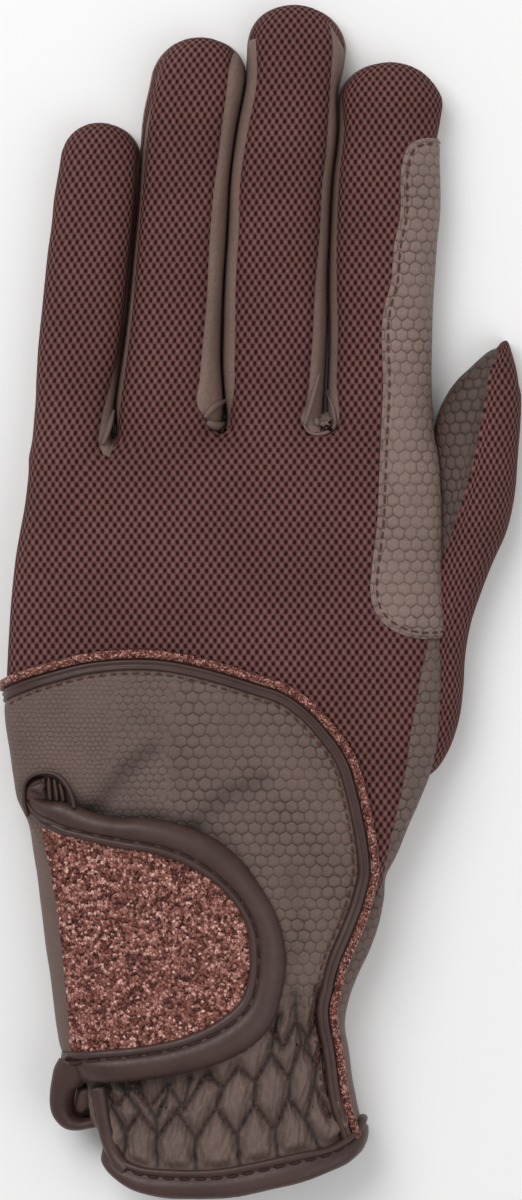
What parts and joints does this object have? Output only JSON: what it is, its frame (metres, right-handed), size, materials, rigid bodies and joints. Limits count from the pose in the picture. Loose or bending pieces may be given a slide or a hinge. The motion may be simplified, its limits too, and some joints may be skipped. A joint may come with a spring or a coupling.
{
  "type": "riding glove",
  "caption": "Left riding glove lying palm down: mesh back, embossed leather palm, thumb and wrist panel, gathered cuff, glitter piping and a bound glitter closure tab.",
  "frame": {"origin": "under the middle of the glove's outline, on the surface that it lies on", "axes": "+Y towards the fingertips, +X towards the thumb, +Z out of the back of the hand"},
  "size_m": [0.1036, 0.2392, 0.0212],
  "materials": {
    "mesh_cloth": "matt warp-knit mesh",
    "embossed_leather": "matt, embossed with small scales",
    "smooth_leather": "satin",
    "glitter_cloth": "coarse glitter",
    "hook_tape": "matt hook tape"
  },
  "bodies": {
    "root": {"back_panel": "mesh_cloth", "thumb_back": "mesh_cloth", "palm": "embossed_leather", "fourchette_little_ring": "embossed_leather", "fourchette_ring_middle": "embossed_leather", "fourchette_middle_index": "embossed_leather", "thumb_palm": "embossed_leather", "side_strip": "embossed_leather", "index_patch": "embossed_leather", "wrist_panel": "embossed_leather", "tab_root": "embossed_leather", "welt": "smooth_leather", "tab_binding": "smooth_leather", "cuff_binding": "smooth_leather", "piping": "glitter_cloth", "tab_panel": "glitter_cloth", "tab_fastener": "hook_tape"}
  },
  "joints": []
}
